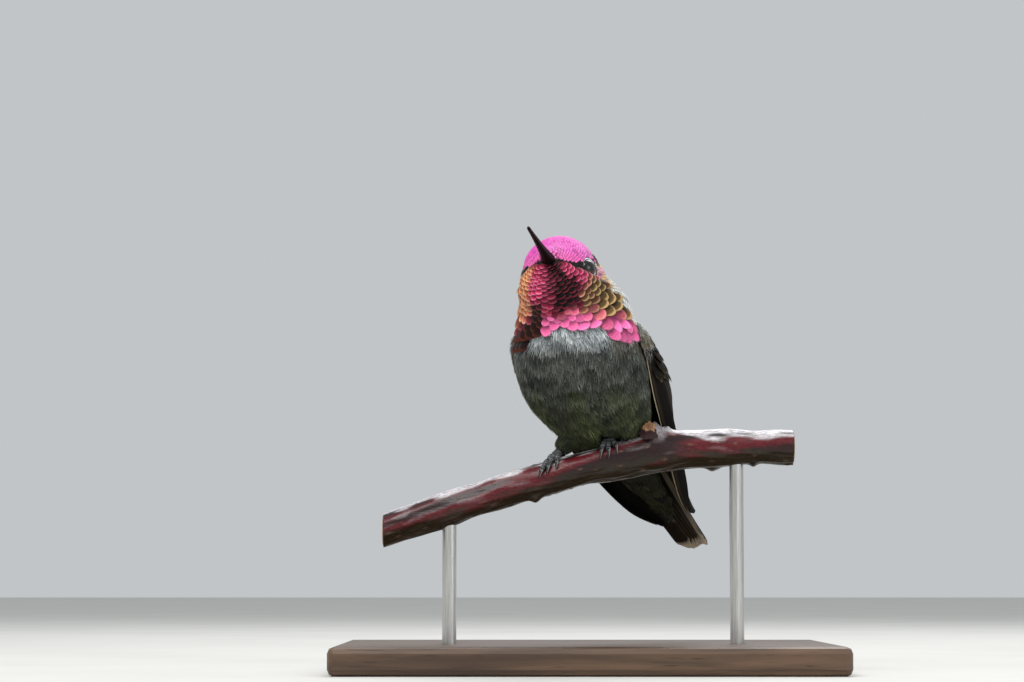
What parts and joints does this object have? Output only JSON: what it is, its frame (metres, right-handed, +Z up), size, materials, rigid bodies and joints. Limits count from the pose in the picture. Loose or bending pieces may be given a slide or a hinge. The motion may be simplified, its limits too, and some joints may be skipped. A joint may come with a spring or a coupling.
{
  "type": "hummingbird on a perch",
  "caption": "Life-size still model of a male hummingbird with rose-pink crown and throat, perched on a cut branch held by a plain display stand.",
  "frame": {"origin": "middle of the underside of the stand's base", "axes": "+Z up from the underside; X along the branch, with the bird's left towards +X; the bird's breast faces -Y"},
  "size_m": [0.106, 0.078, 0.0925],
  "materials": {
    "crown_feathers": "iridescent feathers",
    "gorget_feathers": "iridescent feathers",
    "nape_feathers": "soft feathers",
    "body_feathers": "soft feathers",
    "flight_feathers": "stiff feathers",
    "bill": "satin horn",
    "eye": "wet gloss",
    "foot": "scaly skin",
    "claw": "satin horn",
    "bark": "natural bark",
    "stand_wood": "satin varnish",
    "stand_metal": "brushed"
  },
  "bodies": {
    "root": {"head": "crown_feathers", "gorget": "gorget_feathers", "neck": "nape_feathers", "trunk": "body_feathers", "rump": "body_feathers", "tail": "flight_feathers", "wing_left": "flight_feathers", "wing_right": "flight_feathers", "bill_upper": "bill", "bill_lower": "bill", "eye_left": "eye", "eye_right": "eye", "leg_left": "foot", "leg_right": "foot", "foot_left": "foot", "foot_right": "foot", "claw_left_inner": "claw", "claw_left_middle": "claw", "claw_left_outer": "claw", "claw_left_rear": "claw", "claw_right_inner": "claw", "claw_right_middle": "claw", "claw_right_outer": "claw", "claw_right_rear": "claw", "perch_branch": "bark", "stand_base": "stand_wood", "stand_rod_left": "stand_metal", "stand_rod_right": "stand_metal"}
  },
  "joints": []
}
